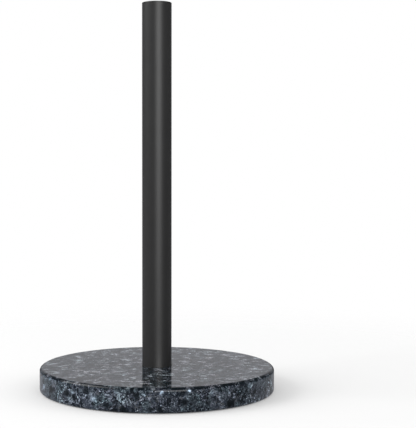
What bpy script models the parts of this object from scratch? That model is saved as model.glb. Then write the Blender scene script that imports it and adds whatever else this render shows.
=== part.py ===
"""Countertop paper towel holder: a black steel pole bolted to a polished granite disc.

Units are metres, +Z is up. The origin is on the surface that the holder stands on, at the pole's
axis. Run it in Blender's text editor or with: blender --background --python part.py
"""

import math

import bmesh
import bpy

# Driving dimensions
OVERALL_HEIGHT = 0.329
BASE_DIAMETER = 0.200
STONE_THICKNESS = 0.020
POLE_DIAMETER = 0.0251  # 25 mm tube with its powder coat
TUBE_WALL = 0.0012
FOOT_STANDOFF = 0.0004  # how far the feet hold the stone off the counter
GAP = 0.0003  # between pieces that touch

# Edges
TOP_ARRIS = 0.003
BOTTOM_ARRIS = 0.002
POLE_RIM_RADIUS = 0.0005
SMALL_CHAMFER = 0.0004

# M6 hardware
THREAD_DIAMETER = 0.006
BOLT_LENGTH = 0.025
BOLT_HEAD_DIAMETER = 0.0105
BOLT_HEAD_HEIGHT = 0.0033
HEX_SOCKET_ACROSS_FLATS = 0.004
HEX_SOCKET_DEPTH = 0.0020
SPRING_WASHER_DIAMETER = 0.0118
SPRING_WASHER_THICKNESS = 0.0016
FLAT_WASHER_DIAMETER = 0.018
FLAT_WASHER_THICKNESS = 0.0016
CUSHION_WASHER_THICKNESS = 0.001
WASHER_BORE_RADIUS = 0.0034

# Features of the stone
POLE_SOCKET_DEPTH = 0.0019
BOLT_HOLE_RADIUS = 0.004
COUNTERBORE_RADIUS = 0.011
COUNTERBORE_DEPTH = 0.010
FOOT_DIAMETER = 0.014
FOOT_THICKNESS = 0.002
FOOT_CIRCLE_RADIUS = 0.075

# Plugs in the tube
GASKET_THICKNESS = 0.0008
GASKET_BORE_RADIUS = 0.0045
INSERT_LENGTH = 0.018
TOP_PLUG_PLATE = 0.003
TOP_PLUG_LENGTH = 0.012
TOP_PLUG_SPIGOT_WALL = 0.0016

# Roundness
BASE_SEGMENTS = 96
POLE_SEGMENTS = 64
SMALL_SEGMENTS = 36
ARC_STEPS = 5
SMOOTH_BELOW = math.radians(35)  # edges sharper than this stay crisp

# Levels that follow from the sizes above
POLE_RADIUS = POLE_DIAMETER / 2
TUBE_BORE_RADIUS = POLE_RADIUS - TUBE_WALL
PLUG_RADIUS = TUBE_BORE_RADIUS - GAP
STONE_BOTTOM = FOOT_STANDOFF
STONE_TOP = STONE_BOTTOM + STONE_THICKNESS
SOCKET_FLOOR = STONE_TOP - POLE_SOCKET_DEPTH
GASKET_BOTTOM = SOCKET_FLOOR + GAP
POLE_BOTTOM = GASKET_BOTTOM + GASKET_THICKNESS + GAP
COUNTERBORE_CEILING = STONE_BOTTOM + COUNTERBORE_DEPTH
CUSHION_BOTTOM = COUNTERBORE_CEILING - GAP - CUSHION_WASHER_THICKNESS
FLAT_WASHER_BOTTOM = CUSHION_BOTTOM - GAP - FLAT_WASHER_THICKNESS
SPRING_WASHER_BOTTOM = FLAT_WASHER_BOTTOM - GAP - SPRING_WASHER_THICKNESS
BOLT_SEAT = SPRING_WASHER_BOTTOM - GAP


def clear_scene():
    for old in list(bpy.data.objects):
        bpy.data.objects.remove(old, do_unlink=True)


def material(name, colour, roughness, metallic=0.0):
    made = bpy.data.materials.new(name)
    made.use_nodes = True
    shader = made.node_tree.nodes["Principled BSDF"]
    shader.inputs["Base Color"].default_value = (*colour, 1.0)
    shader.inputs["Roughness"].default_value = roughness
    shader.inputs["Metallic"].default_value = metallic
    made.diffuse_color = (*colour, 1.0)
    return made


def place(name, mesh, look, parent, location=(0, 0, 0)):
    """A named object with its material, smooth round faces and crisp edges."""
    mesh.shade_smooth()
    mesh.set_sharp_from_angle(angle=SMOOTH_BELOW)
    mesh.materials.clear()
    mesh.materials.append(look)
    made = bpy.data.objects.new(name, mesh)
    made.location = location
    made.parent = parent
    bpy.context.scene.collection.objects.link(made)
    return made


def arc(centre_r, centre_z, radius, start_deg, end_deg, steps=ARC_STEPS):
    """Points (r, z) along an arc of the turned outline, both ends included."""
    points = []
    for i in range(steps + 1):
        angle = math.radians(start_deg + (end_deg - start_deg) * i / steps)
        points.append((centre_r + radius * math.cos(angle), centre_z + radius * math.sin(angle)))
    return points


def turned(name, outline, segments):
    """Spins a closed outline of (r, z) points round Z into a closed mesh."""
    bm = bmesh.new()
    points = [bm.verts.new((r, 0.0, z)) for r, z in outline]
    edges = [bm.edges.new((points[i - 1], points[i])) for i in range(len(points))]
    bmesh.ops.spin(
        bm,
        geom=points + edges,
        cent=(0, 0, 0),
        axis=(0, 0, 1),
        angle=math.tau,
        steps=segments,
        use_merge=True,
    )
    bmesh.ops.remove_doubles(bm, verts=bm.verts, dist=1e-6)
    on_axis = [e for e in bm.edges if all(abs(v.co.x) + abs(v.co.y) < 1e-6 for v in e.verts)]
    bmesh.ops.delete(bm, geom=on_axis, context="EDGES")
    bmesh.ops.recalc_face_normals(bm, faces=bm.faces)
    mesh = bpy.data.meshes.new(name)
    bm.to_mesh(mesh)
    bm.free()
    return mesh


def ring(name, bore_radius, radius, bottom, thickness):
    """A flat ring, such as a washer."""
    top = bottom + thickness
    outline = [(bore_radius, top), (radius, top), (radius, bottom), (bore_radius, bottom)]
    return turned(name, outline, SMALL_SEGMENTS)


def cut(target, cutter):
    """Takes the cutter's shape out of the target and keeps the cutter out of the model."""
    cutter.hide_render = True
    cutter.display_type = "WIRE"
    modifier = target.modifiers.new(cutter.name, "BOOLEAN")
    modifier.operation = "DIFFERENCE"
    modifier.solver = "EXACT"
    modifier.object = cutter


def foot_places():
    """Each foot's name and its centre on the counter, one in each quarter of the base."""
    places = {}
    for depth, side_y in (("front", -1), ("rear", 1)):
        for side, side_x in (("left", -1), ("right", 1)):
            reach = FOOT_CIRCLE_RADIUS * math.sqrt(0.5)
            places[f"foot_{depth}_{side}"] = (side_x * reach, side_y * reach, 0.0)
    return places


def granite_base(look, parent):
    """Stone disc: rounded edges, pole socket on top, bolt hole, counterbore and foot pockets below."""
    outer = BASE_DIAMETER / 2
    socket_radius = POLE_RADIUS + GAP
    outline = [(BOLT_HOLE_RADIUS, SOCKET_FLOOR), (socket_radius, SOCKET_FLOOR), (socket_radius, STONE_TOP)]
    outline += arc(outer - TOP_ARRIS, STONE_TOP - TOP_ARRIS, TOP_ARRIS, 90, 0)
    outline += arc(outer - BOTTOM_ARRIS, STONE_BOTTOM + BOTTOM_ARRIS, BOTTOM_ARRIS, 0, -90)
    outline += [
        (COUNTERBORE_RADIUS, STONE_BOTTOM),
        (COUNTERBORE_RADIUS, COUNTERBORE_CEILING),
        (BOLT_HOLE_RADIUS, COUNTERBORE_CEILING),
    ]
    base = place("granite_base", turned("granite_base", outline, BASE_SEGMENTS), look, parent)

    pocket_radius = FOOT_DIAMETER / 2 + GAP
    pocket_top = FOOT_THICKNESS + GAP
    overshoot = 0.005
    pocket = turned(
        "foot_pocket",
        [(0, pocket_top), (pocket_radius, pocket_top), (pocket_radius, -overshoot), (0, -overshoot)],
        SMALL_SEGMENTS,
    )
    for name, centre in foot_places().items():
        cut(base, place(name.replace("foot", "pocket"), pocket, look, parent, centre))


def pole_tube(look, parent):
    """Steel tube with a softened rim at the top and bottom."""
    rim = POLE_RIM_RADIUS
    outline = [(TUBE_BORE_RADIUS, OVERALL_HEIGHT)]
    outline += arc(POLE_RADIUS - rim, OVERALL_HEIGHT - rim, rim, 90, 0, steps=3)
    outline += [
        (POLE_RADIUS, POLE_BOTTOM + SMALL_CHAMFER),
        (POLE_RADIUS - SMALL_CHAMFER, POLE_BOTTOM),
        (TUBE_BORE_RADIUS, POLE_BOTTOM),
    ]
    place("pole_tube", turned("pole_tube", outline, POLE_SEGMENTS), look, parent)


def pole_top_plug(look, parent):
    """Plate flush with the tube's rim, with a thin-walled skirt that grips the bore."""
    lead_in = 0.001
    skirt_bottom = OVERALL_HEIGHT - TOP_PLUG_LENGTH
    plate_bottom = OVERALL_HEIGHT - TOP_PLUG_PLATE
    skirt_inner = PLUG_RADIUS - TOP_PLUG_SPIGOT_WALL
    outline = [
        (0, OVERALL_HEIGHT),
        (PLUG_RADIUS, OVERALL_HEIGHT),
        (PLUG_RADIUS, skirt_bottom + lead_in),
        (PLUG_RADIUS - lead_in, skirt_bottom),
        (skirt_inner, skirt_bottom),
        (skirt_inner, plate_bottom),
        (0, plate_bottom),
    ]
    place("pole_top_plug", turned("pole_top_plug", outline, POLE_SEGMENTS), look, parent)


def pole_thread_insert(look, parent):
    """Thick steel plug at the tube's lower end, bored through for the bolt's thread."""
    lead_in = 0.001
    bore = THREAD_DIAMETER / 2 + GAP
    top = POLE_BOTTOM + INSERT_LENGTH
    outline = [
        (bore, top),
        (PLUG_RADIUS - lead_in, top),
        (PLUG_RADIUS, top - lead_in),
        (PLUG_RADIUS, POLE_BOTTOM),
        (bore + SMALL_CHAMFER, POLE_BOTTOM),
        (bore, POLE_BOTTOM + SMALL_CHAMFER),
    ]
    place("pole_thread_insert", turned("pole_thread_insert", outline, SMALL_SEGMENTS), look, parent)


def pole_gasket(look, parent):
    mesh = ring("pole_gasket", GASKET_BORE_RADIUS, POLE_RADIUS - GAP, GASKET_BOTTOM, GASKET_THICKNESS)
    place("pole_gasket", mesh, look, parent)


def hex_cutter(look, parent):
    """Hexagonal prism for the bolt's socket, open through the underside of the head."""
    across_corners = HEX_SOCKET_ACROSS_FLATS / math.cos(math.radians(30))
    overshoot = 0.002
    height = HEX_SOCKET_DEPTH + overshoot
    bm = bmesh.new()
    bmesh.ops.create_cone(
        bm, cap_ends=True, segments=6, radius1=across_corners / 2, radius2=across_corners / 2, depth=height
    )
    mesh = bpy.data.meshes.new("hex_socket_cutter")
    bm.to_mesh(mesh)
    bm.free()
    head_bottom = BOLT_SEAT - BOLT_HEAD_HEIGHT
    return place("hex_socket_cutter", mesh, look, parent, (0, 0, head_bottom - overshoot + height / 2))


def fixing_bolt(look, parent):
    """Button-head socket screw, head down in the counterbore and thread up in the insert."""
    shank = THREAD_DIAMETER / 2
    head = BOLT_HEAD_DIAMETER / 2
    tip = BOLT_SEAT + BOLT_LENGTH
    tip_chamfer = 0.0008
    head_edge = 0.0006
    crown_flat = 0.0028
    head_bottom = BOLT_SEAT - BOLT_HEAD_HEIGHT
    outline = [
        (0, tip),
        (shank - tip_chamfer, tip),
        (shank, tip - tip_chamfer),
        (shank, BOLT_SEAT),
        (head, BOLT_SEAT),
        (head, BOLT_SEAT - head_edge),
    ]
    crown_height = BOLT_HEAD_HEIGHT - head_edge
    for i in range(1, ARC_STEPS + 1):
        angle = math.radians(90 * i / ARC_STEPS)
        outline.append(
            (
                crown_flat + (head - crown_flat) * math.cos(angle),
                BOLT_SEAT - head_edge - crown_height * math.sin(angle),
            )
        )
    outline.append((0, head_bottom))
    bolt = place("fixing_bolt", turned("fixing_bolt", outline, SMALL_SEGMENTS), look, parent)
    cut(bolt, hex_cutter(look, parent))


def spring_washer(look, parent):
    """Split ring: a square section swept almost once round, rising a little, as it does under load."""
    rise = 0.0002
    sweep = math.radians(350)
    section = SPRING_WASHER_THICKNESS - rise
    inner = WASHER_BORE_RADIUS
    outer = SPRING_WASHER_DIAMETER / 2
    bm = bmesh.new()
    corners = ((inner, 0.0), (outer, 0.0), (outer, section), (inner, section))
    face = bm.faces.new([bm.verts.new((r, 0.0, SPRING_WASHER_BOTTOM + z)) for r, z in corners])
    bmesh.ops.spin(
        bm,
        geom=[face],
        cent=(0, 0, 0),
        axis=(0, 0, 1),
        dvec=(0, 0, rise / SMALL_SEGMENTS),
        angle=sweep,
        steps=SMALL_SEGMENTS,
    )
    bmesh.ops.recalc_face_normals(bm, faces=bm.faces)
    mesh = bpy.data.meshes.new("spring_washer")
    bm.to_mesh(mesh)
    bm.free()
    place("spring_washer", mesh, look, parent)


def flat_washer(look, parent):
    radius = FLAT_WASHER_DIAMETER / 2
    mesh = ring("flat_washer", WASHER_BORE_RADIUS, radius, FLAT_WASHER_BOTTOM, FLAT_WASHER_THICKNESS)
    place("flat_washer", mesh, look, parent)


def cushion_washer(look, parent):
    radius = FLAT_WASHER_DIAMETER / 2
    mesh = ring("cushion_washer", WASHER_BORE_RADIUS, radius, CUSHION_BOTTOM, CUSHION_WASHER_THICKNESS)
    place("cushion_washer", mesh, look, parent)


def feet(look, parent):
    """Four silicone discs with softened lower edges, flat where they stand on the counter."""
    radius = FOOT_DIAMETER / 2
    edge = 0.0004
    outline = [(0, FOOT_THICKNESS), (radius, FOOT_THICKNESS)]
    outline += arc(radius - edge, edge, edge, 0, -90, steps=3)
    outline.append((0, 0))
    mesh = turned("foot", outline, SMALL_SEGMENTS)
    for name, centre in foot_places().items():
        place(name, mesh, look, parent, centre)


def build():
    clear_scene()
    holder = bpy.data.objects.new("paper_towel_holder", None)
    bpy.context.scene.collection.objects.link(holder)

    granite = material("polished_granite", (0.055, 0.065, 0.085), 0.08)
    black_coat = material("satin_black_coat", (0.022, 0.022, 0.022), 0.42)
    zinc = material("zinc_plated_steel", (0.55, 0.56, 0.58), 0.35, metallic=1.0)
    black_rubber = material("black_rubber", (0.02, 0.02, 0.02), 0.85)
    grey_silicone = material("grey_silicone", (0.10, 0.10, 0.11), 0.6)

    granite_base(granite, holder)
    pole_tube(black_coat, holder)
    pole_top_plug(black_coat, holder)
    pole_thread_insert(zinc, holder)
    pole_gasket(black_rubber, holder)
    fixing_bolt(zinc, holder)
    spring_washer(zinc, holder)
    flat_washer(zinc, holder)
    cushion_washer(black_rubber, holder)
    feet(grey_silicone, holder)


build()
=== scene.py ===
import math
import random

import bmesh
import bpy
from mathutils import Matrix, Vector


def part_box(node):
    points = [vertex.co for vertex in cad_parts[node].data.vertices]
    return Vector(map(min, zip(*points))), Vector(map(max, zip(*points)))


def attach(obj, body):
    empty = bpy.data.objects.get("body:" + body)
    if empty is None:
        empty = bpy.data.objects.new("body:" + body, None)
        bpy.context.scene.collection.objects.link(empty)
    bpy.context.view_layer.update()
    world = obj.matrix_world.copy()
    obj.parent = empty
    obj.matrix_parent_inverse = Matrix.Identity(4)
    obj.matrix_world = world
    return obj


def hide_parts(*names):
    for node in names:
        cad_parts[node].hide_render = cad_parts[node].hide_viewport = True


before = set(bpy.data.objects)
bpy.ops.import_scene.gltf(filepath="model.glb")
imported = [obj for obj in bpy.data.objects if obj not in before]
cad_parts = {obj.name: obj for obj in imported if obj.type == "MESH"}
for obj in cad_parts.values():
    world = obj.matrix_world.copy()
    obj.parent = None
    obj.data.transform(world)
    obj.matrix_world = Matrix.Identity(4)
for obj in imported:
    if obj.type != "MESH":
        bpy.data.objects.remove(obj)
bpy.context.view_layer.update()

BODY = "root"
MM = 0.001

# ---------------------------------------------------------------- sizes, read from the frame

STONE_LOW, STONE_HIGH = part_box("granite_base")
STONE_RADIUS = STONE_HIGH.x
STONE_BOTTOM, STONE_TOP = STONE_LOW.z, STONE_HIGH.z
POLE_LOW, POLE_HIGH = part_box("pole_tube")
POLE_RADIUS = POLE_HIGH.x
PLUG_LOW, PLUG_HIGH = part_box("pole_top_plug")
INSERT_LOW, INSERT_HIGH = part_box("pole_thread_insert")
GASKET_LOW, GASKET_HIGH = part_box("pole_gasket")
BOLT_LOW, BOLT_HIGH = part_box("fixing_bolt")
SPRING_LOW, SPRING_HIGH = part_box("spring_washer")
FLAT_LOW, FLAT_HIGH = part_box("flat_washer")
CUSHION_LOW, CUSHION_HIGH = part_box("cushion_washer")

# Sizes inside the nodes, which their boxes don't give
GAP = 0.3 * MM
TUBE_WALL = 1.2 * MM
TOP_ARRIS = 3 * MM
BOTTOM_ARRIS = 2 * MM
SOCKET_FLOOR = GASKET_LOW.z - GAP
BOLT_HOLE_RADIUS = 4 * MM
COUNTERBORE_RADIUS = 11 * MM
COUNTERBORE_CEILING = CUSHION_HIGH.z + GAP
WASHER_BORE = 3.4 * MM
SEAT_RING_BORE = 4.5 * MM
STEEL_EDGE = 0.15 * MM
RUBBER_EDGE = 0.2 * MM
THREAD_RADIUS = 3 * MM
THREAD_PITCH = 1 * MM
THREAD_DEPTH = 0.55 * MM
RINGS_PER_TURN = 8
BOLT_HEAD_HEIGHT = 3.3 * MM
BOLT_SEAT = BOLT_LOW.z + BOLT_HEAD_HEIGHT
HEX_APOTHEM = 2 * MM
HEX_DEPTH = 2 * MM


# ---------------------------------------------------------------- mesh helpers

def fillet(corners, steps=6, closed=False):
    """Outline points from corners (r, z, radius): each corner with a radius becomes an arc, with a
    support point on the straight run at either end, which keeps flat faces flat when shaded smooth."""
    points = []
    count = len(corners)
    for i, (r, z, radius) in enumerate(corners):
        at = Vector((r, z))
        if radius <= 0 or (not closed and i in (0, count - 1)):
            points.append((r, z))
            continue
        before = (Vector(corners[i - 1][:2]) - at).normalized()
        after = (Vector(corners[(i + 1) % count][:2]) - at).normalized()
        half = before.angle(after) / 2
        reach = radius / math.tan(half)
        centre = at + (before + after).normalized() * (radius / math.sin(half))
        start = at + before * reach - centre
        sweep = start.angle_signed(at + after * reach - centre)
        support = min(0.15 * radius, 0.2 * MM)
        points.append(tuple(at + before * (reach + support)))
        for k in range(steps + 1):
            turn = -sweep * k / steps
            c, s = math.cos(turn), math.sin(turn)
            points.append((centre.x + start.x * c - start.y * s, centre.y + start.x * s + start.y * c))
        points.append(tuple(at + after * (reach + support)))
    return points


def ring_stack(name, rings, segments, closed=False):
    """A mesh round the Z axis from rings, listed so that the outer side runs from top to bottom. A
    ring is (r, z), or a function of the angle that gives (r, z). An r of 0 is one point on the
    axis. A closed stack joins its last ring to its first, as a washer does."""
    bm = bmesh.new()
    loops = []
    for ring in rings:
        if not callable(ring) and ring[0] == 0:
            loops.append([bm.verts.new((0, 0, ring[1]))])
            continue
        loop = []
        for k in range(segments):
            angle = math.tau * k / segments
            r, z = ring(angle) if callable(ring) else ring
            loop.append(bm.verts.new((r * math.cos(angle), r * math.sin(angle), z)))
        loops.append(loop)
    pairs = list(zip(loops, loops[1:]))
    if closed:
        pairs.append((loops[-1], loops[0]))
    for upper, lower in pairs:
        for k in range(segments):
            n = (k + 1) % segments
            if len(upper) == 1:
                bm.faces.new((upper[0], lower[k], lower[n]))
            elif len(lower) == 1:
                bm.faces.new((upper[n], upper[k], lower[0]))
            else:
                bm.faces.new((upper[k], lower[k], lower[n], upper[n]))
    return finished_mesh(name, bm)


def finished_mesh(name, bm):
    bmesh.ops.recalc_face_normals(bm, faces=bm.faces)
    mesh = bpy.data.meshes.new(name)
    bm.to_mesh(mesh)
    bm.free()
    return mesh


def piece(name, mesh, node, slot, *looks, crisp_deg=32):
    """A finished piece of the object: smooth where round, crisp at edges, riding on the body."""
    mesh.shade_smooth()
    mesh.set_sharp_from_angle(angle=math.radians(crisp_deg))
    for look in looks:
        mesh.materials.append(look)
    made = bpy.data.objects.new(name, mesh)
    bpy.context.scene.collection.objects.link(made)
    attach(made, BODY)
    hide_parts(node)
    return made


# ---------------------------------------------------------------- node helpers

def add(tree, kind, inputs=None, **settings):
    """A node with its settings, whose inputs are given values or are linked from other sockets."""
    made = tree.nodes.new(kind)
    for key, value in settings.items():
        setattr(made, key, value)
    for key, value in (inputs or {}).items():
        if isinstance(value, bpy.types.NodeSocket):
            tree.links.new(value, made.inputs[key])
        else:
            made.inputs[key].default_value = value
    return made


def maths(tree, operation, a, b):
    return add(tree, "ShaderNodeMath", {0: a, 1: b}, operation=operation).outputs[0]


def vector_maths(tree, operation, a, b):
    return add(tree, "ShaderNodeVectorMath", {0: a, 1: b}, operation=operation).outputs[0]


def scaled(tree, vector, factor):
    return add(tree, "ShaderNodeVectorMath", {0: vector, "Scale": factor}, operation="SCALE").outputs[0]


def remap(tree, value, from_low, from_high, to_low=0.0, to_high=1.0, smooth=False):
    made = add(
        tree,
        "ShaderNodeMapRange",
        {"Value": value, "From Min": from_low, "From Max": from_high, "To Min": to_low, "To Max": to_high},
        interpolation_type="SMOOTHSTEP" if smooth else "LINEAR",
    )
    return made.outputs[0]


def blend(tree, factor, a, b):
    return add(tree, "ShaderNodeMix", {"Factor": factor, 2: a, 3: b}, data_type="FLOAT").outputs[0]


def mix_colour(tree, factor, a, b, method="MIX"):
    made = add(tree, "ShaderNodeMix", {"Factor": factor}, data_type="RGBA", blend_type=method)
    for socket, value in ((made.inputs[6], a), (made.inputs[7], b)):
        if isinstance(value, bpy.types.NodeSocket):
            tree.links.new(value, socket)
        else:
            socket.default_value = value
    return made.outputs[2]


def ramp(tree, value, stops):
    """A colour ramp from (position, (r, g, b)) stops."""
    made = add(tree, "ShaderNodeValToRGB", {"Fac": value})
    elements = made.color_ramp.elements
    while len(elements) < len(stops):
        elements.new(1.0)
    for element, (position, colour) in zip(elements, stops):
        element.position = position
        element.color = (*colour, 1.0)
    return made.outputs["Color"]


def new_material(name):
    made = bpy.data.materials.new(name)
    made.use_nodes = True
    tree = made.node_tree
    return made, tree, tree.nodes["Principled BSDF"]


def millimetres(tree):
    """The object's own coordinates, in millimetres."""
    coordinates = add(tree, "ShaderNodeTexCoord").outputs["Object"]
    return scaled(tree, coordinates, 1 / MM)


def noise(tree, vector, scale, detail=2.0, roughness=0.5):
    inputs = {"Vector": vector, "Scale": scale, "Detail": detail, "Roughness": roughness}
    return add(tree, "ShaderNodeTexNoise", inputs)


def cells(tree, vector, scale):
    return add(tree, "ShaderNodeTexVoronoi", {"Vector": vector, "Scale": scale})


def random_channels(tree, found):
    """Three random numbers for each cell, as the channels of its colour."""
    return add(tree, "ShaderNodeSeparateColor", {"Color": found.outputs["Color"]}).outputs


def facing_up(tree):
    """The normal's Z: 1 on faces that look straight up, 0 on upright ones, -1 underneath."""
    normal = add(tree, "ShaderNodeNewGeometry").outputs["Normal"]
    return add(tree, "ShaderNodeSeparateXYZ", {0: normal}).outputs["Z"]


def bump(tree, height, strength, distance):
    inputs = {"Height": height, "Strength": strength, "Distance": distance}
    return add(tree, "ShaderNodeBump", inputs).outputs["Normal"]


# ---------------------------------------------------------------- materials

def shifted(tree, vector, scale, reach, detail=2.0):
    """The coordinates pushed about by noise, up to reach millimetres, so that grain edges wander."""
    drift = noise(tree, vector, scale, detail).outputs["Color"]
    push = vector_maths(tree, "SUBTRACT", drift, (0.5, 0.5, 0.5))
    return vector_maths(tree, "ADD", vector, scaled(tree, push, 2 * reach))


# Large grains near the surface, the ones that catch the eye. They are scattered by a seeded draw, one
# to each equal share of the rim or of the top. Heights and reaches are in millimetres, and a grain's
# level is how far it lightens or darkens the stone.
GRAIN_SEED = 11
GRAIN_HEIGHTS = (2.5, 18.0)
PALE_RIM_GRAINS = 38
PALE_RIM_REACH = (1.4, 3.8)
PALE_RIM_LEVEL = (0.26, 0.64)
DARK_RIM_GRAINS = 46
DARK_RIM_REACH = (1.6, 3.5)
DARK_RIM_LEVEL = (0.95, 0.95)
PALE_TOP_GRAINS = 18
PALE_TOP_REACH = (2.2, 3.5)
PALE_TOP_LEVEL = (0.16, 0.28)
GOLDEN_ANGLE = math.pi * (3 - math.sqrt(5))
GRAIN_FADE = (1.15, 0.55)  # shares of its reach where a grain starts and where it is full


def rim_grains(draw, count, reaches, levels):
    """Grains (place, reach, level) all the way round the rim."""
    radius = STONE_RADIUS / MM
    grains = []
    for i in range(count):
        turn = math.tau * (i + draw.random()) / count
        height = draw.uniform(*GRAIN_HEIGHTS)
        place = (radius * math.cos(turn), radius * math.sin(turn), height)
        grains.append((place, draw.uniform(*reaches), draw.uniform(*levels)))
    return grains


def top_grains(draw, count, reaches, levels):
    """Grains (place, reach, level) over the whole top, spread as seeds are in a sunflower."""
    grains = []
    for i in range(count):
        away = STONE_RADIUS / MM * math.sqrt((i + draw.random()) / count)
        turn = GOLDEN_ANGLE * (i + 0.5 * draw.random())
        place = (away * math.cos(turn), away * math.sin(turn), STONE_TOP / MM)
        grains.append((place, draw.uniform(*reaches), draw.uniform(*levels)))
    return grains


def pale_and_dark_grains():
    """The large grains that lighten the stone, and the ones that darken it."""
    draw = random.Random(GRAIN_SEED)
    pale = rim_grains(draw, PALE_RIM_GRAINS, PALE_RIM_REACH, PALE_RIM_LEVEL)
    pale += top_grains(draw, PALE_TOP_GRAINS, PALE_TOP_REACH, PALE_TOP_LEVEL)
    dark = rim_grains(draw, DARK_RIM_GRAINS, DARK_RIM_REACH, DARK_RIM_LEVEL)
    return pale, dark


def near_any(tree, vector, grains):
    """Rises from 0 just outside each grain (place, reach, level) to its level well inside it."""
    outside, full = GRAIN_FADE
    field = None
    for centre, reach, level in grains:
        ends = {0: vector, 1: centre}
        away = add(tree, "ShaderNodeVectorMath", ends, operation="DISTANCE").outputs["Value"]
        inside = remap(tree, away, outside * reach, full * reach, 0.0, level)
        field = inside if field is None else maths(tree, "MAXIMUM", field, inside)
    return field


def weighted_sum(tree, *terms):
    """The sum of (value, weight) pairs."""
    total = 0.0
    for value, weight in terms:
        inputs = {0: value, 1: weight, 2: total}
        total = add(tree, "ShaderNodeMath", inputs, operation="MULTIPLY_ADD").outputs[0]
    return total


# The stone's tone runs from 0, black mineral, to 1, a crystal that catches the light.
MIDDLE_TONE = 0.46
MINERAL_COLOURS = [
    (0.00, (0.002, 0.004, 0.006)),
    (0.17, (0.006, 0.009, 0.013)),
    (0.33, (0.016, 0.021, 0.028)),
    (0.50, (0.035, 0.042, 0.052)),
    (0.67, (0.074, 0.087, 0.105)),
    (0.83, (0.160, 0.188, 0.220)),
    (0.93, (0.280, 0.330, 0.385)),
    (1.00, (0.460, 0.560, 0.660)),
]
GRAIN_TINTS = [
    (0.00, (0.87, 1.02, 1.01)),
    (0.40, (0.97, 1.00, 0.98)),
    (0.75, (1.02, 0.97, 1.04)),
    (1.00, (1.11, 1.00, 0.86)),
]
# Painted light: a warmer, more neutral tint for the top face, standing in for the different light that
# falls on it.
PAINTED_TOP_LIGHT_TINT = (1.09, 1.00, 0.94, 1.0)
PALE_TINT = (0.86, 1.00, 1.10, 1.0)
DARK_TINT = (1.15, 1.00, 0.88, 1.0)
STREAK_STRETCH = (1.5, 0.45, 1.5)


def crystal_tone(tree, place, drifted, ragged, grain, grain_random, chip_random):
    """The stone's tone on the rim: grains and chips, streaks along each grain, and fine texture.
    Some stretches of the stone are calm and others are busy."""
    cleavage = scaled(tree, grain.outputs["Color"], math.tau)
    turned = {"Vector": ragged, "Rotation": cleavage}
    along = add(tree, "ShaderNodeVectorRotate", turned, rotation_type="EULER_XYZ").outputs["Vector"]
    stretched = vector_maths(tree, "MULTIPLY", along, STREAK_STRETCH)
    tone = weighted_sum(
        tree,
        (grain_random["Red"], 0.22),
        (chip_random["Red"], 0.36),
        (noise(tree, stretched, 1.0, 2.0, 0.6).outputs["Fac"], 1.0),
        (noise(tree, ragged, 0.45, 2.0, 0.6).outputs["Fac"], 1.3),
        (noise(tree, place, 1.05, 2.0, 0.7).outputs["Fac"], 2.1),
    )
    tone = remap(tree, tone, 2.07, 3.07)
    busy = remap(tree, noise(tree, drifted, 0.11, 1.0).outputs["Fac"], 0.38, 0.62, 0.50, 1.15)
    return weighted_sum(tree, (maths(tree, "SUBTRACT", tone, MIDDLE_TONE), busy), (1.0, MIDDLE_TONE))


def top_patches_and_painted_shade(tree, ragged, tone):
    """The slab's top cuts across the crystals, so there they show as broader light and dark patches. The
    tone there is also set lower overall: painted shade that evens out the stronger light falling on the
    top.
    """
    patch = noise(tree, ragged, 0.14, 3.0, 0.65).outputs["Fac"]
    crystal = random_channels(tree, cells(tree, ragged, 0.17))["Red"]
    # The -1.64 sets the top darker than the rim: painted shade.
    broad = weighted_sum(tree, (tone, 0.85), (patch, 2.6), (crystal, 0.55), (1.0, -1.64))
    return maths(tree, "MINIMUM", broad, 0.86)


def with_minerals(tree, tone, place, drifted, ragged):
    """The tone with the large grains and the black minerals in it, and where it is lifted and sunk.
    Pale grains are calmer inside as well as brighter; black minerals take nearly all the light."""
    edged = shifted(tree, shifted(tree, place, 0.30, 2.2), 1.0, 1.6, detail=3.0)
    pale, dark = pale_and_dark_grains()
    lift = near_any(tree, edged, pale)
    calm = maths(tree, "MULTIPLY", tone, remap(tree, lift, 0.0, 1.0, 1.0, 0.3))
    tone = weighted_sum(tree, (calm, 1.0), (lift, 1.05))
    clump = noise(tree, drifted, 0.17, 1.0, 0.5).outputs["Fac"]
    speck = noise(tree, ragged, 0.6, 2.0, 0.6).outputs["Fac"]
    clumped = weighted_sum(tree, (clump, 1.0), (speck, 0.8), (lift, -0.5))
    black = remap(tree, clumped, 1.01, 1.08, 0.0, 0.65)
    broken = remap(tree, speck, 0.40, 0.60, 1.0, 0.7)
    sink = maths(tree, "MAXIMUM", maths(tree, "MULTIPLY", near_any(tree, edged, dark), broken), black)
    return maths(tree, "MULTIPLY", tone, maths(tree, "SUBTRACT", 1.0, sink)), lift, sink


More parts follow.
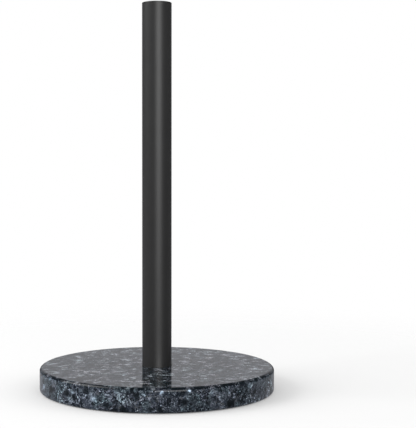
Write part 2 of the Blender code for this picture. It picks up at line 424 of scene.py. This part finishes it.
def granite_colours(tree):
    """Blue-pearl granite as nodes. It returns the colour, how much each grain flashes, and a
    direction of its own for each grain."""
    place = millimetres(tree)
    drifted = shifted(tree, place, 0.16, 3.0)
    ragged = shifted(tree, drifted, 0.9, 0.8, detail=3.0)
    grain = cells(tree, ragged, 0.12)
    grain_random = random_channels(tree, grain)
    chip_random = random_channels(tree, cells(tree, ragged, 0.62))
    slope = facing_up(tree)
    upward = remap(tree, slope, 0.25, 0.60, smooth=True)

    tone = crystal_tone(tree, place, drifted, ragged, grain, grain_random, chip_random)
    # Faces that look up take the top's tone, which carries painted shade.
    tone = blend(tree, upward, tone, top_patches_and_painted_shade(tree, ragged, tone))
    tone, lift, sink = with_minerals(tree, tone, place, drifted, ragged)

    # Painted shade: the tone is lowered on the rounded upper edge, so it looks darker than the flat faces.
    corner = maths(tree, "MULTIPLY", remap(tree, slope, 0.25, 0.45), remap(tree, slope, 0.98, 0.90))
    tone = weighted_sum(tree, (tone, 1.0), (corner, -0.15))

    tint = ramp(tree, blend(tree, 0.4, grain_random["Green"], chip_random["Green"]), GRAIN_TINTS)
    # Faces that look up get the painted-light tint.
    tint = mix_colour(tree, upward, tint, mix_colour(tree, 1.0, tint, PAINTED_TOP_LIGHT_TINT, "MULTIPLY"))
    tint = mix_colour(tree, lift, tint, PALE_TINT)
    tint = mix_colour(tree, sink, tint, DARK_TINT)
    colour = mix_colour(tree, 1.0, ramp(tree, tone, MINERAL_COLOURS), tint, "MULTIPLY")
    return colour, remap(tree, tone, 0.80, 0.95), grain.outputs["Color"]


def polished_granite():
    """Mirror-polished stone: a clear, even surface over grains that each glint their own way."""
    made, tree, shader = new_material("polished_granite")
    colour, flash, direction = granite_colours(tree)
    tilt = scaled(tree, vector_maths(tree, "SUBTRACT", direction, (0.5, 0.5, 0.5)), 0.5)
    facing = add(tree, "ShaderNodeNewGeometry").outputs["Normal"]
    tilted = vector_maths(tree, "NORMALIZE", vector_maths(tree, "ADD", facing, tilt), (0, 0, 0))
    tree.links.new(colour, shader.inputs["Base Color"])
    tree.links.new(tilted, shader.inputs["Normal"])
    tree.links.new(remap(tree, flash, 0.0, 1.0, 0.0, 0.35), shader.inputs["Metallic"])
    tree.links.new(remap(tree, flash, 0.0, 1.0, 0.55, 0.34), shader.inputs["Roughness"])
    polish = noise(tree, millimetres(tree), 0.8, 2.0, 0.6).outputs["Fac"]
    upward = add(tree, "ShaderNodeSeparateXYZ", {0: facing}).outputs["Z"]
    rounded = maths(tree, "MULTIPLY", remap(tree, upward, 0.05, 0.20), remap(tree, upward, 0.95, 0.80))
    even = remap(tree, polish, 0.35, 0.65, 0.80, 1.0)
    shine = maths(tree, "MULTIPLY", even, remap(tree, rounded, 0.0, 1.0, 1.0, 0.7))
    tree.links.new(shine, shader.inputs["Coat Weight"])
    shader.inputs["Specular IOR Level"].default_value = 0.0
    shader.inputs["Coat Roughness"].default_value = 0.02
    shader.inputs["Coat IOR"].default_value = 1.5
    return made


def sawn_granite():
    """The underside and the drilled recesses: the same stone, cut and left dull and greyer."""
    made, tree, shader = new_material("sawn_granite")
    colour = granite_colours(tree)[0]
    place = millimetres(tree)
    dust = noise(tree, place, 0.9, 4.0, 0.7).outputs["Fac"]
    dull = mix_colour(tree, remap(tree, dust, 0.3, 0.7, 0.35, 0.6), colour, (0.17, 0.18, 0.20, 1.0))
    marks = add(
        tree,
        "ShaderNodeTexWave",
        {"Vector": place, "Scale": 0.35, "Distortion": 2.0, "Detail": 2.0},
        wave_type="BANDS",
        bands_direction="X",
    ).outputs["Fac"]
    pits = noise(tree, place, 2.5, 3.0).outputs["Fac"]
    height = weighted_sum(tree, (marks, 0.3), (pits, 1.0))
    tree.links.new(dull, shader.inputs["Base Color"])
    tree.links.new(remap(tree, dust, 0.2, 0.8, 0.55, 0.75), shader.inputs["Roughness"])
    tree.links.new(bump(tree, height, 0.35, 0.1 * MM), shader.inputs["Normal"])
    return made


def black_coat():
    """Satin black powder coat: fine even orange peel, with slightly uneven gloss."""
    made, tree, shader = new_material("satin_black_coat")
    place = millimetres(tree)
    peel = noise(tree, place, 1.6, 2.0, 0.5).outputs["Fac"]
    grain = noise(tree, place, 7.0, 1.0, 0.5).outputs["Fac"]
    cloud = noise(tree, place, 0.06, 2.0, 0.5).outputs["Fac"]
    height = maths(tree, "ADD", peel, maths(tree, "MULTIPLY", grain, 0.35))
    colour = ramp(tree, cloud, [(0.3, (0.0115, 0.0115, 0.0115)), (0.7, (0.0127, 0.0127, 0.0127))])
    tree.links.new(colour, shader.inputs["Base Color"])
    tree.links.new(remap(tree, peel, 0.3, 0.7, 0.42, 0.46), shader.inputs["Roughness"])
    tree.links.new(bump(tree, height, 0.08, 0.02 * MM), shader.inputs["Normal"])
    shader.inputs["Specular IOR Level"].default_value = 0.75
    return made


def zinc_plate():
    """Zinc-plated steel: bright grey metal with a cloudy sheen and fine turning marks."""
    made, tree, shader = new_material("zinc_plate")
    place = millimetres(tree)
    cloud = noise(tree, place, 0.5, 3.0, 0.6).outputs["Fac"]
    fine = noise(tree, place, 9.0, 2.0, 0.6).outputs["Fac"]
    colour = ramp(tree, cloud, [(0.3, (0.50, 0.52, 0.53)), (0.7, (0.66, 0.66, 0.63))])
    tree.links.new(colour, shader.inputs["Base Color"])
    tree.links.new(remap(tree, fine, 0.3, 0.7, 0.26, 0.40), shader.inputs["Roughness"])
    tree.links.new(bump(tree, fine, 0.15, 0.02 * MM), shader.inputs["Normal"])
    shader.inputs["Metallic"].default_value = 1.0
    return made


RUBBER_BLACKS = ((0.012, 0.012, 0.012), (0.022, 0.022, 0.022))
RUBBER_ROUGHNESS = (0.75, 0.9)
SILICONE_GREYS = ((0.085, 0.085, 0.095), (0.12, 0.12, 0.13))
SILICONE_ROUGHNESS = (0.5, 0.65)


def soft_rubber(name, colours, roughness):
    """Moulded rubber or silicone: matte, faintly mottled and finely grained."""
    dark, light = colours
    smoother, rougher = roughness
    made, tree, shader = new_material(name)
    place = millimetres(tree)
    cloud = noise(tree, place, 0.4, 3.0, 0.6).outputs["Fac"]
    grain = noise(tree, place, 5.0, 2.0, 0.6).outputs["Fac"]
    tree.links.new(ramp(tree, cloud, [(0.3, dark), (0.7, light)]), shader.inputs["Base Color"])
    tree.links.new(remap(tree, grain, 0.3, 0.7, smoother, rougher), shader.inputs["Roughness"])
    tree.links.new(bump(tree, grain, 0.3, 0.03 * MM), shader.inputs["Normal"])
    return made


# ---------------------------------------------------------------- the stone

def foot_boxes():
    return {name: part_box(name) for name in sorted(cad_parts) if name.startswith("foot_")}


def cut_pockets(stone):
    """Drills a pocket for each foot into the stone's underside, then drops the cutters."""
    cutters = []
    for name, (low, high) in foot_boxes().items():
        radius = (high.x - low.x) / 2 + GAP
        top = high.z + GAP
        rings = [(0, top), (radius, top), (radius, STONE_BOTTOM + 0.3 * MM)]
        wide = radius + 0.5 * MM
        rings += [(wide, STONE_BOTTOM - 0.2 * MM), (wide, -2 * MM), (0, -2 * MM)]
        cutter = bpy.data.objects.new("pocket_" + name, ring_stack("pocket", rings, 64))
        cutter.location = ((low.x + high.x) / 2, (low.y + high.y) / 2, 0)
        bpy.context.scene.collection.objects.link(cutter)
        cutters.append(cutter)
        modifier = stone.modifiers.new(cutter.name, "BOOLEAN")
        modifier.operation = "DIFFERENCE"
        modifier.solver = "EXACT"
        modifier.object = cutter
    bpy.context.view_layer.update()
    graph = bpy.context.evaluated_depsgraph_get()
    mesh = bpy.data.meshes.new_from_object(stone.evaluated_get(graph), depsgraph=graph)
    bpy.data.objects.remove(stone)
    for cutter in cutters:
        bpy.data.objects.remove(cutter)
    return mesh


def granite_disc():
    """The round slab: rounded polished edges, pole socket, bolt hole, counterbore and foot pockets."""
    corners = [
        (BOLT_HOLE_RADIUS, SOCKET_FLOOR, 0.15 * MM),
        (POLE_RADIUS + GAP, SOCKET_FLOOR, 0.0),
        (POLE_RADIUS + GAP, STONE_TOP, 0.12 * MM),
        (STONE_RADIUS, STONE_TOP, TOP_ARRIS),
        (STONE_RADIUS, STONE_BOTTOM, BOTTOM_ARRIS),
        (COUNTERBORE_RADIUS, STONE_BOTTOM, 0.3 * MM),
        (COUNTERBORE_RADIUS, COUNTERBORE_CEILING, 0.0),
        (BOLT_HOLE_RADIUS, COUNTERBORE_CEILING, 0.15 * MM),
    ]
    whole = ring_stack("granite_disc", fillet(corners, steps=14, closed=True), 288, closed=True)
    blank = bpy.data.objects.new("stone_blank", whole)
    bpy.context.scene.collection.objects.link(blank)
    mesh = cut_pockets(blank)
    mesh.name = "granite_disc"
    for face in mesh.polygons:
        centre = face.center
        on_top = centre.z > STONE_TOP - 0.2 * MM
        on_rim = math.hypot(centre.x, centre.y) > STONE_RADIUS - BOTTOM_ARRIS
        face.material_index = 0 if on_top or on_rim else 1
    return piece("granite_disc", mesh, "granite_base", "granite", polished_granite(), sawn_granite())


# ---------------------------------------------------------------- the pole

def pole_shaft(look):
    """The tube, with a small radius on its rim and a bevelled lower end."""
    bore = POLE_RADIUS - TUBE_WALL
    corners = [
        (bore, POLE_HIGH.z, 0.15 * MM),
        (POLE_RADIUS, POLE_HIGH.z, 0.5 * MM),
        (POLE_RADIUS, POLE_LOW.z, 0.4 * MM),
        (bore, POLE_LOW.z, 0.15 * MM),
    ]
    mesh = ring_stack("pole_shaft", fillet(corners, steps=8, closed=True), 160, closed=True)
    return piece("pole_shaft", mesh, "pole_tube", "black_coat", look)


def pole_end_plug(look):
    """A plate flush with the rim, on a skirt with three grip ribs."""
    radius = PLUG_HIGH.x
    skirt = radius - 1.6 * MM
    plate_bottom = PLUG_HIGH.z - 3 * MM
    plate = [(0, PLUG_HIGH.z, 0), (radius, PLUG_HIGH.z, 0.25 * MM), (radius, plate_bottom, 0)]
    outline = fillet(plate)
    level = plate_bottom - 1.2 * MM
    for _ in range(3):
        valley = radius - 0.3 * MM
        outline += [(valley, level + 0.5 * MM), (radius, level), (valley, level - 0.9 * MM)]
        level -= 2.2 * MM
    outline += [(radius - 1 * MM, PLUG_LOW.z), (skirt, PLUG_LOW.z)]
    outline += [(skirt, plate_bottom), (0, plate_bottom)]
    mesh = ring_stack("pole_end_plug", outline, 96)
    return piece("pole_end_plug", mesh, "pole_top_plug", "black_coat", look)


# ---------------------------------------------------------------- the fixings

def thread_ring(z, crest, low_end, high_end, fade):
    """A ring of a screw thread at height z, whose depth dies away towards both ends."""
    share = max(0.0, min(1.0, (z - low_end) / fade, (high_end - z) / fade))

    def at(angle):
        phase = (z / THREAD_PITCH - angle / math.tau) % 1.0
        groove = 1.0 - abs(2.0 * phase - 1.0)
        depth = max(0.0, min(1.0, 1.25 * groove - 0.125))
        return crest - THREAD_DEPTH * share * depth, z

    return at


def threaded_rings(crest, top, bottom, fade):
    """Rings down a threaded stretch, from its top to its bottom."""
    count = round((top - bottom) / THREAD_PITCH * RINGS_PER_TURN)
    levels = [top + (bottom - top) * i / count for i in range(count + 1)]
    return [thread_ring(z, crest, bottom, top, fade) for z in levels]


def hexagon(z, apothem):
    def at(angle):
        return apothem / math.cos((angle + math.pi / 6) % (math.pi / 3) - math.pi / 6), z

    return at


def fixing_bolt(look):
    """Button-head socket screw with a rolled thread."""
    head = BOLT_HIGH.x
    tip = BOLT_HIGH.z
    thread_end = BOLT_SEAT + 6 * MM
    edge = 0.6 * MM
    crown_flat = 2.8 * MM
    rings = [(0, tip), (THREAD_RADIUS - 0.8 * MM, tip)]
    rings += threaded_rings(THREAD_RADIUS, tip - 0.5 * MM, thread_end, 1.0 * MM)
    rings += [(THREAD_RADIUS, BOLT_SEAT + 0.3 * MM), (THREAD_RADIUS + 0.3 * MM, BOLT_SEAT)]
    rings += [(head - 0.2 * MM, BOLT_SEAT), (head, BOLT_SEAT - 0.15 * MM), (head, BOLT_SEAT - edge)]
    for i in range(1, 11):
        turn = math.radians(9 * i)
        drop = (BOLT_HEAD_HEIGHT - edge) * math.sin(turn)
        rings.append((crown_flat + (head - crown_flat) * math.cos(turn), BOLT_SEAT - edge - drop))
    rings += [
        hexagon(BOLT_LOW.z, HEX_APOTHEM + 0.15 * MM),
        hexagon(BOLT_LOW.z + 0.15 * MM, HEX_APOTHEM),
        hexagon(BOLT_LOW.z + HEX_DEPTH, HEX_APOTHEM),
        (0, BOLT_LOW.z + HEX_DEPTH + 0.4 * MM),
    ]
    mesh = ring_stack("hex_socket_bolt", rings, 48)
    return piece("hex_socket_bolt", mesh, "fixing_bolt", "zinc_steel", look)


def thread_insert(look):
    """Knurled plug with an internal thread that follows the bolt's."""
    radius = INSERT_HIGH.x
    crest = THREAD_RADIUS + 0.15 * MM
    knurl_depth = 0.25 * MM

    def knurled(z, share):
        def at(angle):
            wave = abs(math.sin(angle * 18 + z / MM * 0.9))
            return radius - knurl_depth * share * wave, z

        return at

    mouth = crest + 0.6 * MM
    bevel = 1.2 * MM
    rings = [(mouth, INSERT_HIGH.z), (radius - bevel, INSERT_HIGH.z), (radius, INSERT_HIGH.z - bevel)]
    top, bottom = INSERT_HIGH.z - 2 * MM, INSERT_LOW.z + 2 * MM
    count = 24
    for i in range(count + 1):
        share = min(1.0, 4 * i / count, 4 * (count - i) / count)
        rings.append(knurled(top + (bottom - top) * i / count, share))
    rings += [(radius, INSERT_LOW.z + 0.3 * MM), (radius - 0.3 * MM, INSERT_LOW.z), (mouth, INSERT_LOW.z)]
    inner = threaded_rings(crest, INSERT_HIGH.z - 0.5 * MM, INSERT_LOW.z + 0.5 * MM, 0.6 * MM)
    mesh = ring_stack("thread_insert", rings + inner[::-1], 144, closed=True)
    return piece("thread_insert", mesh, "pole_thread_insert", "zinc_steel", look)


def washer(name, low, high, bore, edge, node, slot, look):
    """A flat ring with softened edges."""
    corners = [(bore, high.z, edge), (high.x, high.z, edge), (high.x, low.z, edge), (bore, low.z, edge)]
    mesh = ring_stack(name, fillet(corners, steps=4, closed=True), 96, closed=True)
    return piece(name, mesh, node, slot, look)


def split_washer(look):
    """Spring washer: a square section swept nearly once round, rising from one end to the other."""
    rise = 0.2 * MM
    sweep = math.radians(350)
    steps = 96
    inner, outer = WASHER_BORE, SPRING_HIGH.x
    thick = SPRING_HIGH.z - SPRING_LOW.z - rise
    corner = 0.15 * MM
    corners = [(inner, thick, corner), (outer, thick, corner), (outer, 0, corner), (inner, 0, corner)]
    section = fillet(corners, steps=3, closed=True)
    bm = bmesh.new()
    loops = []
    for i in range(steps + 1):
        angle = sweep * i / steps
        lift = SPRING_LOW.z + rise * i / steps
        points = [(r * math.cos(angle), r * math.sin(angle), z + lift) for r, z in section]
        loops.append([bm.verts.new(point) for point in points])
    count = len(section)
    for a, b in zip(loops, loops[1:]):
        for k in range(count):
            n = (k + 1) % count
            bm.faces.new((a[k], a[n], b[n], b[k]))
    bm.faces.new(loops[0])
    bm.faces.new(reversed(loops[-1]))
    return piece("split_washer", finished_mesh("split_washer", bm), "spring_washer", "zinc_steel", look)


# ---------------------------------------------------------------- the feet

def foot_pad(name, look):
    """A silicone disc that stands on three flat rings, with shallow grooves between them."""
    low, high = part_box(name)
    radius = (high.x - low.x) / 2
    groove = 0.25 * MM
    corners = [(0, high.z, 0), (radius, high.z, 0.3 * MM), (radius, low.z, 0.4 * MM), (0, low.z, 0)]
    outline = fillet(corners)[:-1]
    ring = radius - 1.4 * MM
    for _ in range(3):
        outline += [(ring, low.z), (ring - 0.2 * MM, low.z + groove)]
        outline += [(ring - 0.6 * MM, low.z + groove), (ring - 0.8 * MM, low.z)]
        ring -= 1.8 * MM
    outline.append((0, low.z))
    mesh = ring_stack(name + "_pad", outline, 64)
    made = piece(name + "_pad", mesh, name, "grey_silicone", look)
    made.location = ((low.x + high.x) / 2, (low.y + high.y) / 2, 0)
    return made


# ---------------------------------------------------------------- floor, light and camera

FLOOR_RADIUS = 0.65
FLOOR_CLEAR_FROM = 0.20
FLOOR_CLEAR_AT = 0.95 * FLOOR_RADIUS
FLOOR_GREYS = (0.368, 0.372)
FLOOR_OWN_LIGHT = 0.20  # for camera rays only
STUDIO_DISTANCE = 3.0
LAMPS_AIM = Vector((0, 0, 0.12))

# Brightness of the surroundings, for what the camera sees, for diffuse light and for reflections
SEEN_WHITE = 1.0
DOME_LIGHT = 1.40
STUDIO_DARK = 0.10
STUDIO_GLOW = 0.47
GROUND_RIGHT = 0.30
GROUND_LEFT = 0.34
WHITE = (1, 1, 1, 1)
REFLECTED_TINT = (0.985, 0.985, 1.03, 1)

# Each softbox: azimuth, elevation, width and height in degrees, radiance, and what it lights
SOFTBOXES = {
    "key_left": (-76, 24, 46, 38, 8.5, "diffuse"),
    "sheen_left": (-92, 42, 44, 34, 3.5, "glossy"),
    "front_low": (15, 15, 34, 36, 3.6, "glossy"),
    "front_fill": (15, 25, 34, 40, 0.8, "diffuse"),
    "fill_right": (90, 25, 40, 30, 3.0, "diffuse"),
}

# The camera: place in metres, lens and sensor in millimetres, tilt in degrees, shift as a share
CAMERA_PLACE = (0.0037, -0.9423, 0.1891)
CAMERA_DOWN = 2.369
CAMERA_LENS = 93.014
CAMERA_SENSOR = 36
CAMERA_SHIFT = 0.1093


def floor():
    """A pale round floor whose far rim melts into the white surroundings."""
    bm = bmesh.new()
    bmesh.ops.create_circle(bm, cap_ends=True, segments=128, radius=FLOOR_RADIUS)
    mesh = finished_mesh("floor", bm)
    made, tree, shader = new_material("pale_floor")
    place = add(tree, "ShaderNodeTexCoord").outputs["Object"]
    distance = add(tree, "ShaderNodeVectorMath", {0: place}, operation="LENGTH").outputs["Value"]
    speck = noise(tree, place, 900.0, 2.0).outputs["Fac"]
    darker, lighter = FLOOR_GREYS
    pale = ramp(tree, speck, [(0.3, (darker,) * 3), (0.7, (lighter,) * 3)])
    tree.links.new(pale, shader.inputs["Base Color"])
    shader.inputs["Emission Color"].default_value = WHITE
    seen = add(tree, "ShaderNodeLightPath").outputs["Is Camera Ray"]
    tree.links.new(maths(tree, "MULTIPLY", seen, FLOOR_OWN_LIGHT), shader.inputs["Emission Strength"])
    shader.inputs["Roughness"].default_value = 0.9
    shader.inputs["Specular IOR Level"].default_value = 0.0
    clear = add(tree, "ShaderNodeBsdfTransparent")
    fade = remap(tree, distance, FLOOR_CLEAR_FROM, FLOOR_CLEAR_AT, smooth=True)
    mix = add(tree, "ShaderNodeMixShader", {0: fade, 1: shader.outputs[0], 2: clear.outputs[0]})
    tree.links.new(mix.outputs[0], tree.nodes["Material Output"].inputs["Surface"])
    mesh.materials.append(made)
    plane = bpy.data.objects.new("floor", mesh)
    plane.visible_glossy = False
    bpy.context.scene.collection.objects.link(plane)


def surroundings():
    """White behind the object, an even dome that lights it, and a dimmer studio for its polish to
    reflect: a glow low down at the back, a pale ground at the sides, dark elsewhere."""
    world = bpy.data.worlds.new("studio")
    world.use_nodes = True
    world.cycles.sampling_method = "NONE"
    bpy.context.scene.world = world
    tree = world.node_tree
    tree.nodes.clear()
    direction = add(tree, "ShaderNodeTexCoord").outputs["Generated"]
    parts = add(tree, "ShaderNodeSeparateXYZ", {0: direction})
    x, y, z = parts.outputs["X"], parts.outputs["Y"], parts.outputs["Z"]
    behind = remap(tree, y, 0.70, 0.93, smooth=True)
    above_floor = remap(tree, z, 0.04, 0.14, smooth=True)
    low_glow = maths(tree, "MULTIPLY", above_floor, remap(tree, z, 0.60, 0.26, smooth=True))
    sky = blend(tree, maths(tree, "MULTIPLY", behind, low_glow), STUDIO_DARK, STUDIO_GLOW)
    left = remap(tree, x, 0.3, -0.3, smooth=True)
    pale_ground = blend(tree, left, GROUND_RIGHT, GROUND_LEFT)
    ground = blend(tree, remap(tree, y, -0.1, 0.6, smooth=True), STUDIO_DARK, pale_ground)
    studio = blend(tree, remap(tree, z, -0.14, -0.06, smooth=True), ground, sky)
    path = add(tree, "ShaderNodeLightPath")
    level = blend(tree, path.outputs["Is Glossy Ray"], DOME_LIGHT, studio)
    level = blend(tree, path.outputs["Is Camera Ray"], level, SEEN_WHITE)
    colour = mix_colour(tree, path.outputs["Is Glossy Ray"], WHITE, REFLECTED_TINT)
    background = add(tree, "ShaderNodeBackground", {"Color": colour, "Strength": level})
    output = add(tree, "ShaderNodeOutputWorld")
    tree.links.new(background.outputs[0], output.inputs["Surface"])


def softbox(name, azimuth, elevation, width, height, radiance, lit):
    """A rectangular light that the camera doesn't see, far off and facing the object. Azimuth runs
    from the front (0) to the right (90); width and height are the angles it fills, in degrees. It
    lights surfaces only diffusely, or shows only in their reflections."""
    data = bpy.data.lights.new(name, "AREA")
    data.shape = "RECTANGLE"
    data.size = 2 * STUDIO_DISTANCE * math.tan(math.radians(width / 2))
    data.size_y = 2 * STUDIO_DISTANCE * math.tan(math.radians(height / 2))
    data.energy = radiance * math.pi * data.size * data.size_y
    made = bpy.data.objects.new(name, data)
    turn, rise = math.radians(azimuth), math.radians(elevation)
    level = math.cos(rise)
    outward = Vector((math.sin(turn) * level, -math.cos(turn) * level, math.sin(rise)))
    made.location = LAMPS_AIM + outward * STUDIO_DISTANCE
    made.rotation_euler = (-outward).to_track_quat("-Z", "Y").to_euler()
    made.visible_camera = False
    made.visible_diffuse = lit == "diffuse"
    made.visible_glossy = lit == "glossy"
    bpy.context.scene.collection.objects.link(made)


def lights():
    for name, settings in SOFTBOXES.items():
        softbox(name, *settings)


def camera():
    data = bpy.data.cameras.new("camera")
    data.lens = CAMERA_LENS
    data.sensor_width = CAMERA_SENSOR
    data.shift_x = CAMERA_SHIFT
    made = bpy.data.objects.new("camera", data)
    made.location = CAMERA_PLACE
    made.rotation_euler = (math.radians(90 - CAMERA_DOWN), 0, 0)
    bpy.context.scene.collection.objects.link(made)
    bpy.context.scene.camera = made


def build():
    coat = black_coat()
    zinc = zinc_plate()
    rubber = soft_rubber("black_rubber", RUBBER_BLACKS, RUBBER_ROUGHNESS)
    silicone = soft_rubber("grey_silicone", SILICONE_GREYS, SILICONE_ROUGHNESS)
    granite_disc()
    pole_shaft(coat)
    pole_end_plug(coat)
    fixing_bolt(zinc)
    thread_insert(zinc)
    split_washer(zinc)
    washer(
        "wide_washer", FLAT_LOW, FLAT_HIGH, WASHER_BORE, STEEL_EDGE,
        "flat_washer", "zinc_steel", zinc,
    )
    washer(
        "rubber_washer", CUSHION_LOW, CUSHION_HIGH, WASHER_BORE, RUBBER_EDGE,
        "cushion_washer", "black_rubber", rubber,
    )
    washer(
        "pole_seat_ring", GASKET_LOW, GASKET_HIGH, SEAT_RING_BORE, RUBBER_EDGE,
        "pole_gasket", "black_rubber", rubber,
    )
    for name in foot_boxes():
        foot_pad(name, silicone)


bpy.context.scene.view_settings.view_transform = "Standard"
build()
floor()
surroundings()
lights()
camera()
